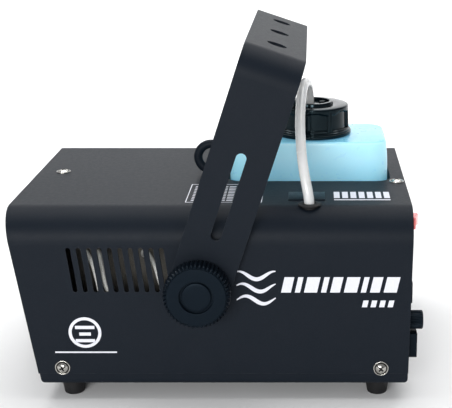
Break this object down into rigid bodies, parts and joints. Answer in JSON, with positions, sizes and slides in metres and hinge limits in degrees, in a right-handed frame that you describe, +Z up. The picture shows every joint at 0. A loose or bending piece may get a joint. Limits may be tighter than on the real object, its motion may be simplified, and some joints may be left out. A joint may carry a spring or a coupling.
{
  "type": "fog machine",
  "caption": "Hangable fog machine: folded steel case with slanted vents, tilting yoke with clamping knobs, fluid tank with screw cap, feed tube, heater and pump.",
  "frame": {"origin": "on the floor between the four feet, under the middle of the whole object", "axes": "+X from the fog outlet at the front to the sockets at the back, +Y to the far side knob, +Z up"},
  "size_m": [0.331, 0.286, 0.2805],
  "materials": {
    "powder_black": "fine-textured black powder coat, low gloss",
    "black_plastic": "moulded black plastic, satin",
    "gloss_black": "glossy black moulded cap",
    "rubber_black": "soft black rubber",
    "nickel_steel": "nickel-plated steel fasteners",
    "plated_steel": "zinc-plated steel sheet",
    "tank_blue": "translucent light blue polyethylene",
    "clear_tube": "milky clear silicone tube",
    "cast_aluminium": "die-cast aluminium",
    "brass_fitting": "machined brass",
    "heat_wrap": "pale glass-fibre wrap",
    "sleeved_wire": "white glass-fibre sleeving",
    "mains_wire": "PVC insulated wire",
    "board_green": "solder-masked circuit board",
    "board_parts": "potted components",
    "red_switch": "lit red translucent rocker",
    "fuse_glass": "glass fuse tube"
  },
  "bodies": {
    "case": {"top_cover": "powder_black", "chassis": "powder_black", "nozzle_shroud": "powder_black", "safety_eye": "powder_black", "blank_plate": "black_plastic", "pivot_spacers": "black_plastic", "pivot_nuts": "plated_steel", "fluid_tank": "tank_blue", "tank_well": "powder_black", "tube_bush": "gloss_black", "cap_gasket": "rubber_black", "suction_tube": "clear_tube", "suction_filter": "brass_fitting", "fluid_tube": "clear_tube", "tube_grommet": "rubber_black", "pump_hose": "clear_tube", "pump_pipe": "brass_fitting", "heater_block": "cast_aluminium", "heater_insulation": "heat_wrap", "thermostats": "plated_steel", "heater_brackets": "plated_steel", "heater_wires": "sleeved_wire", "nozzle": "brass_fitting", "pump": "plated_steel", "pump_bracket": "plated_steel", "control_board": "board_green", "board_standoffs": "brass_fitting", "board_parts": "board_parts", "mains_wires": "mains_wire", "rocker_frame": "black_plastic", "remote_socket": "black_plastic", "socket_contacts": "brass_fitting", "fuse_holder": "black_plastic", "fuse_link": "fuse_glass", "inlet_shell": "black_plastic", "inlet_pins": "brass_fitting", "feet": "rubber_black", "foot_screws": "nickel_steel", "foot_nuts": "plated_steel", "side_screws": "nickel_steel", "cup_washers": "nickel_steel", "top_screws": "nickel_steel", "chassis_screws": "plated_steel", "eye_nut": "plated_steel"},
    "yoke": {"yoke": "powder_black"},
    "knob_near": {"knob_near": "black_plastic", "knob_cap_near": "black_plastic", "knob_stud_near": "plated_steel"},
    "knob_far": {"knob_far": "black_plastic", "knob_cap_far": "black_plastic", "knob_stud_far": "plated_steel"},
    "tank_cap": {"tank_cap": "gloss_black"},
    "rocker": {"power_rocker": "red_switch"},
    "fuse_cap": {"fuse_cap": "black_plastic"}
  },
  "joints": [
    {"name": "yoke_tilt", "type": "hinge", "parent": "case", "child": "yoke", "pos_m": [-0.0087, 0, 0.0945], "axis": [0, 1, 0], "range_deg": [-123.5, 86.5]},
    {"name": "knob_near_turn", "type": "hinge", "parent": "case", "child": "knob_near", "pos_m": [-0.0087, -0.13, 0.0945], "axis": [0, -1, 0], "continuous": true},
    {"name": "knob_far_turn", "type": "hinge", "parent": "case", "child": "knob_far", "pos_m": [-0.0087, 0.13, 0.0945], "axis": [0, 1, 0], "continuous": true},
    {"name": "cap_turn", "type": "hinge", "parent": "case", "child": "tank_cap", "pos_m": [0.0779, 0.0184, 0.2], "axis": [0, 0, 1], "continuous": true},
    {"name": "rocker_press", "type": "hinge", "parent": "case", "child": "rocker", "pos_m": [0.1513, -0.0725, 0.1335], "axis": [0, 0, 1], "range_deg": [0, 24]},
    {"name": "fuse_cap_turn", "type": "hinge", "parent": "case", "child": "fuse_cap", "pos_m": [0.16, -0.0955, 0.0585], "axis": [1, 0, 0], "range_deg": [0, 90]}
  ]
}
